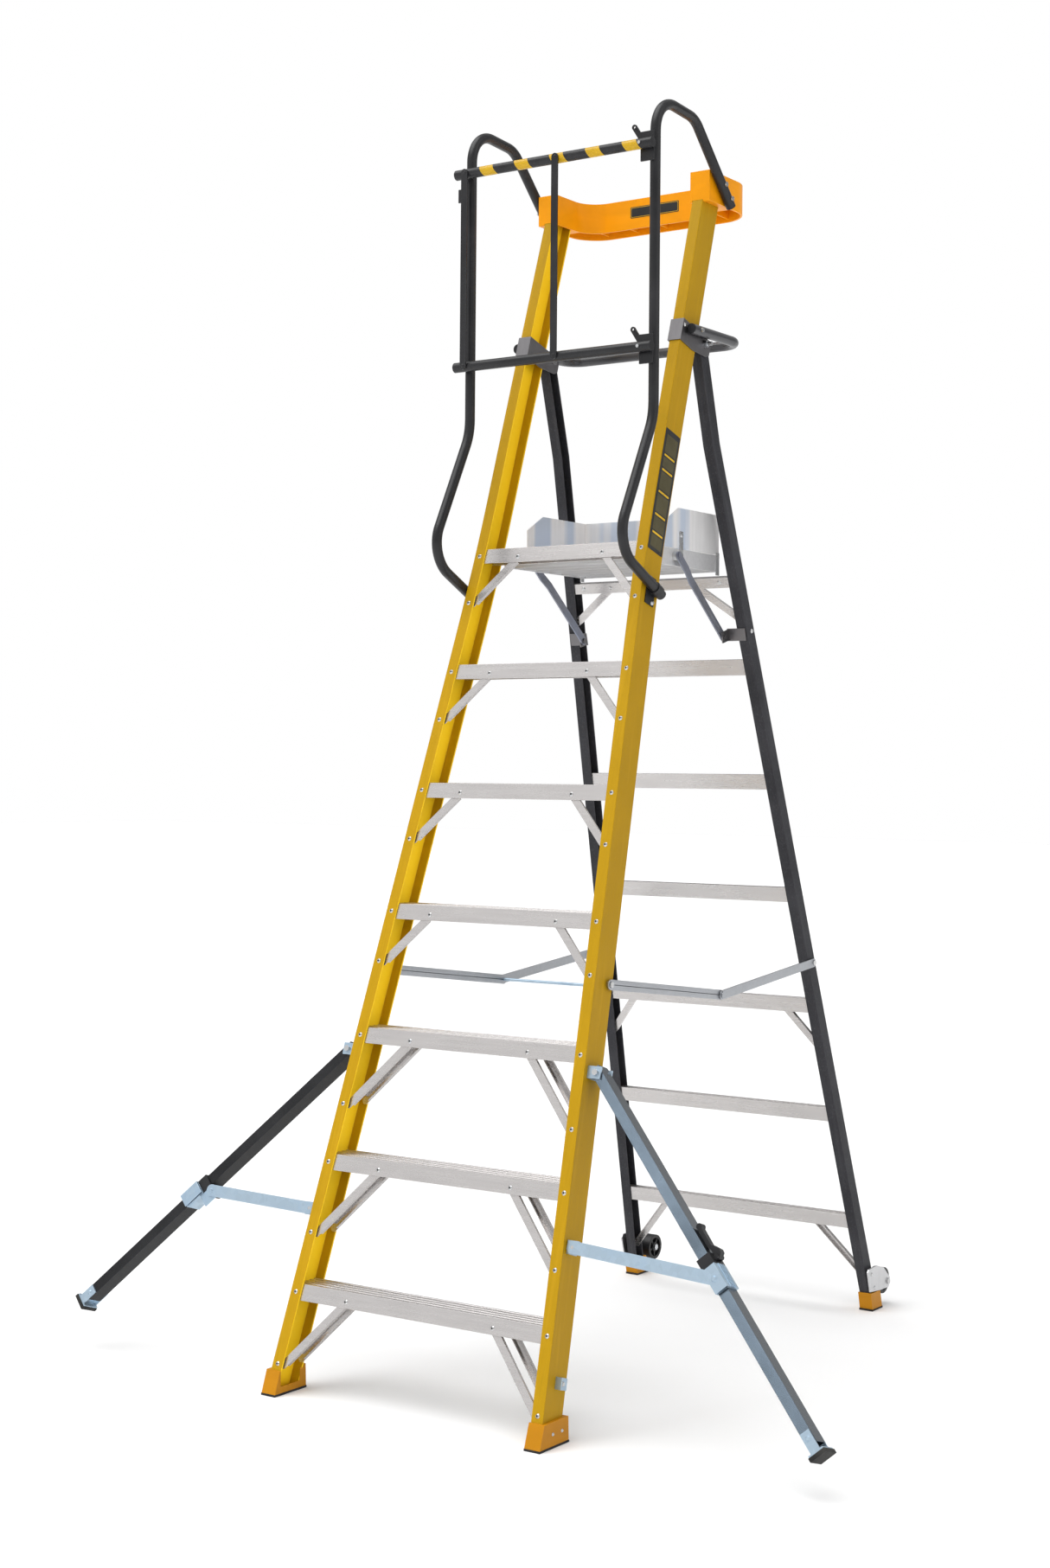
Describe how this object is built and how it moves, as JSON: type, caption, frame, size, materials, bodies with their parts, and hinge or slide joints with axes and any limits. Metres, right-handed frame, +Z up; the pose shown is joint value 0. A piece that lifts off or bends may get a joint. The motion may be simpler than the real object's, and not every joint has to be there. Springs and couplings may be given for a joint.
{
  "type": "step ladder",
  "caption": "Platform step ladder with glass-fibre stiles, ribbed treads, guard rails with a lift-up gate, folding rear frame on wheels and side stabilisers.",
  "frame": {"origin": "on the floor, in the middle of the whole ladder's outline", "axes": "+Z up, -Y towards the front (the climbing side), +X to the right seen from the front"},
  "size_m": [2.0818, 1.708, 3.0512],
  "materials": {
    "stile_yellow": "glass-fibre, satin",
    "yoke_yellow": "moulded, semi-gloss",
    "aluminium": "mill finish, ribbed",
    "bracket_grey": "anodised, matt",
    "rail_black": "powder coated steel",
    "rear_grey": "glass-fibre, rough",
    "rubber": "moulded",
    "zinc": "zinc plated",
    "plastic_black": "moulded"
  },
  "bodies": {
    "front_frame": {"left_front_stile": "stile_yellow", "right_front_stile": "stile_yellow", "lower_treads": "aluminium", "upper_treads": "aluminium", "platform_tread": "aluminium", "deck_hinge_brackets": "aluminium", "tread_braces": "aluminium", "tread_rivets": "zinc", "top_yoke": "yoke_yellow", "left_handrail": "rail_black", "right_handrail": "rail_black", "handrail_clamps": "rail_black", "tube_end_caps": "plastic_black", "frame_bolts": "zinc", "hinge_brackets": "bracket_grey", "mid_rail": "rail_black", "front_shoes": "yoke_yellow", "front_shoe_pads": "rubber", "outrigger_brackets": "zinc", "pivot_pins": "zinc", "gate_hinge_plates": "rail_black"},
    "rear_frame": {"left_rear_stile": "rear_grey", "right_rear_stile": "rear_grey", "rear_bars": "aluminium", "rear_platform_bar": "aluminium", "rear_braces": "aluminium", "rear_shoes": "yoke_yellow", "rear_shoe_pads": "rubber", "wheel_plates": "zinc", "rear_bolts": "zinc", "strut_brackets": "bracket_grey"},
    "wheel_left": {"left_wheel": "plastic_black"},
    "wheel_right": {"right_wheel": "plastic_black"},
    "platform": {"platform_deck": "aluminium", "toe_board": "aluminium", "deck_fittings": "zinc"},
    "struts": {"platform_struts": "zinc"},
    "spreader_front": {"spreader_front_arms": "zinc", "spreader_cross_rod": "zinc"},
    "spreader_rear": {"spreader_rear_arms": "zinc"},
    "gate_top": {"gate_top_rail": "rail_black"},
    "gate_bottom": {"gate_bottom_rail": "rail_black"},
    "gate_end": {"gate_end_bar": "rail_black"},
    "gate_middle": {"gate_middle_bar": "rail_black"},
    "latch": {"gate_latch": "rail_black"},
    "left_outrigger": {"left_outrigger_leg": "rail_black", "left_outrigger_foot": "zinc", "left_outrigger_pad": "rubber"},
    "left_sleeve": {"left_outrigger_sleeve": "zinc", "left_outrigger_collar": "plastic_black"},
    "left_lever": {"left_outrigger_lever": "plastic_black"},
    "left_brace": {"left_outrigger_brace": "zinc"},
    "right_outrigger": {"right_outrigger_leg": "rail_black", "right_outrigger_foot": "zinc", "right_outrigger_pad": "rubber"},
    "right_sleeve": {"right_outrigger_sleeve": "zinc", "right_outrigger_collar": "plastic_black"},
    "right_lever": {"right_outrigger_lever": "plastic_black"},
    "right_brace": {"right_outrigger_brace": "zinc"}
  },
  "joints": [
    {"name": "rear_fold", "type": "hinge", "parent": "front_frame", "child": "rear_frame", "pos_m": [0, 0.0505, 2.5], "axis": [-1, 0, 0], "range_deg": [0, 26]},
    {"name": "left_wheel_spin", "type": "hinge", "parent": "rear_frame", "child": "wheel_left", "pos_m": [-0.362, 0.8225, 0.066], "axis": [1, 0, 0], "continuous": true},
    {"name": "right_wheel_spin", "type": "hinge", "parent": "rear_frame", "child": "wheel_right", "pos_m": [0.362, 0.8225, 0.066], "axis": [1, 0, 0], "continuous": true},
    {"name": "deck_lift", "type": "hinge", "parent": "front_frame", "child": "platform", "pos_m": [0, -0.1385, 1.981], "axis": [1, 0, 0], "range_deg": [0, 59.6]},
    {"name": "strut_turn", "type": "hinge", "parent": "rear_frame", "child": "struts", "pos_m": [0, 0.2099, 1.7848], "axis": [-1, 0, 0], "range_deg": [0, 34.8]},
    {"name": "spreader_front_turn", "type": "hinge", "parent": "front_frame", "child": "spreader_front", "pos_m": [0, -0.4853, 0.9585], "axis": [1, 0, 0], "range_deg": [0, 65.8]},
    {"name": "spreader_rear_turn", "type": "hinge", "parent": "rear_frame", "child": "spreader_rear", "pos_m": [0, 0.49186, 0.94544], "axis": [-1, 0, 0], "range_deg": [0, 71]},
    {"name": "gate_lift", "type": "hinge", "parent": "front_frame", "child": "gate_top", "pos_m": [0.25, -0.2605, 2.925], "axis": [0, 1, 0], "range_deg": [0, 70]},
    {"name": "gate_bottom_turn", "type": "hinge", "parent": "front_frame", "child": "gate_bottom", "pos_m": [0.25, -0.2605, 2.444], "axis": [0, 1, 0], "range_deg": [0, 70.1]},
    {"name": "gate_end_turn", "type": "hinge", "parent": "gate_top", "child": "gate_end", "pos_m": [-0.258, -0.2605, 2.925], "axis": [0, 1, 0], "range_deg": [-70.1, 0]},
    {"name": "gate_middle_turn", "type": "hinge", "parent": "gate_top", "child": "gate_middle", "pos_m": [0.012, -0.2605, 2.925], "axis": [0, 1, 0], "range_deg": [-70.1, 0]},
    {"name": "gate_latch_turn", "type": "hinge", "parent": "gate_end", "child": "latch", "pos_m": [-0.259, -0.2711, 2.874], "axis": [0, 1, 0], "range_deg": [0, 34]},
    {"name": "left_leg_fold", "type": "hinge", "parent": "front_frame", "child": "left_outrigger", "pos_m": [-0.352, -0.56519, 0.76659], "axis": [0, -0.9545, 0.2982], "range_deg": [0, 31]},
    {"name": "left_sleeve_slide", "type": "slide", "parent": "left_outrigger", "child": "left_sleeve", "axis": [-0.7022, -0.2123, -0.6796], "range_m": [0, 0.1869]},
    {"name": "left_brace_turn", "type": "hinge", "parent": "front_frame", "child": "left_brace", "pos_m": [-0.37, -0.70422, 0.40877], "axis": [0, -0.9545, 0.2982], "range_deg": [0, 69.98]},
    {"name": "right_leg_fold", "type": "hinge", "parent": "front_frame", "child": "right_outrigger", "pos_m": [0.352, -0.56519, 0.76659], "axis": [0, 0.9545, -0.2982], "range_deg": [0, 31]},
    {"name": "right_sleeve_slide", "type": "slide", "parent": "right_outrigger", "child": "right_sleeve", "axis": [0.682, -0.2181, -0.6981], "range_m": [0, 0.181]},
    {"name": "right_brace_turn", "type": "hinge", "parent": "front_frame", "child": "right_brace", "pos_m": [0.37, -0.70422, 0.40877], "axis": [0, 0.9545, -0.2982], "range_deg": [0, 64.95]},
    {"name": "left_lever_turn", "type": "hinge", "parent": "left_sleeve", "child": "left_lever", "pos_m": [-0.69295, -0.67802, 0.40544], "axis": [0, -0.9545, 0.2982], "range_deg": [0, 47]},
    {"name": "right_lever_turn", "type": "hinge", "parent": "right_sleeve", "child": "right_lever", "pos_m": [0.71575, -0.6715, 0.42631], "axis": [0, 0.9545, -0.2982], "range_deg": [0, 60]}
  ],
  "couplings": [
    {"joint": "deck_lift", "follows": "rear_fold", "ratio": 2.2883},
    {"joint": "strut_turn", "follows": "rear_fold", "ratio": 1.3358},
    {"joint": "spreader_front_turn", "follows": "rear_fold", "ratio": 2.525},
    {"joint": "spreader_rear_turn", "follows": "rear_fold", "ratio": 2.7265},
    {"joint": "gate_bottom_turn", "follows": "gate_lift", "ratio": 1},
    {"joint": "gate_end_turn", "follows": "gate_lift", "ratio": -1},
    {"joint": "gate_middle_turn", "follows": "gate_lift", "ratio": -1},
    {"joint": "left_sleeve_slide", "follows": "left_leg_fold", "m_per_rad": 0.34356},
    {"joint": "left_brace_turn", "follows": "left_leg_fold", "ratio": 2.2509},
    {"joint": "right_sleeve_slide", "follows": "right_leg_fold", "m_per_rad": 0.33275},
    {"joint": "right_brace_turn", "follows": "right_leg_fold", "ratio": 2.0886}
  ]
}
